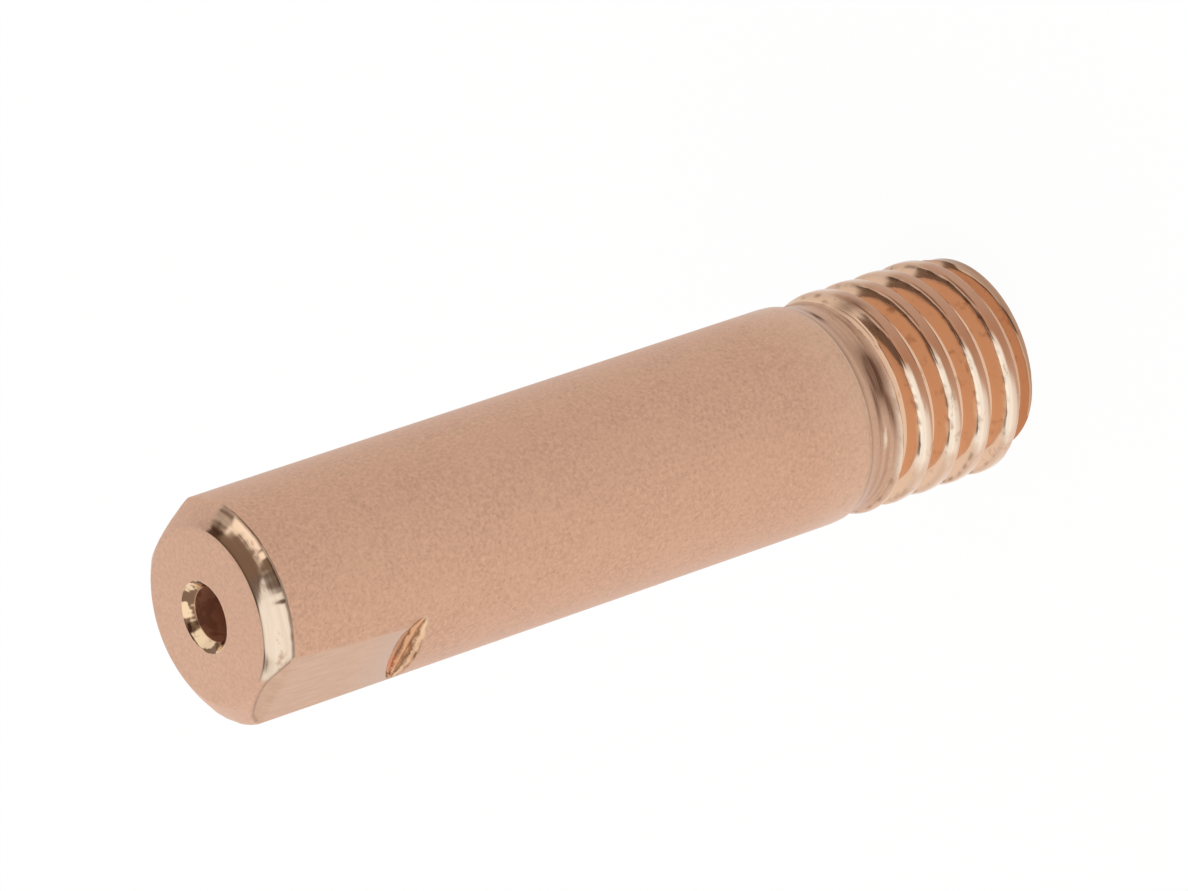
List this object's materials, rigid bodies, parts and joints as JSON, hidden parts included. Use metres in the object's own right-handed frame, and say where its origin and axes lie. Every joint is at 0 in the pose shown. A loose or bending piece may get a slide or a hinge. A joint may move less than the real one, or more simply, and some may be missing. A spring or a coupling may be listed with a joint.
{
  "type": "welding contact tip",
  "caption": "Slim turned copper contact tip for a welding torch: threaded end, shallow neck, plain barrel, spanner flats, chamfered nose and a countersunk wire bore.",
  "frame": {"origin": "centre of the threaded end face, which the tip stands on", "axes": "+Z along the wire bore, from the threaded end to the chamfered nose; +X out of one spanner flat"},
  "size_m": [0.006, 0.006, 0.025],
  "materials": {
    "copper": "satin"
  },
  "bodies": {
    "root": {"contact_tip": "copper"}
  },
  "joints": []
}
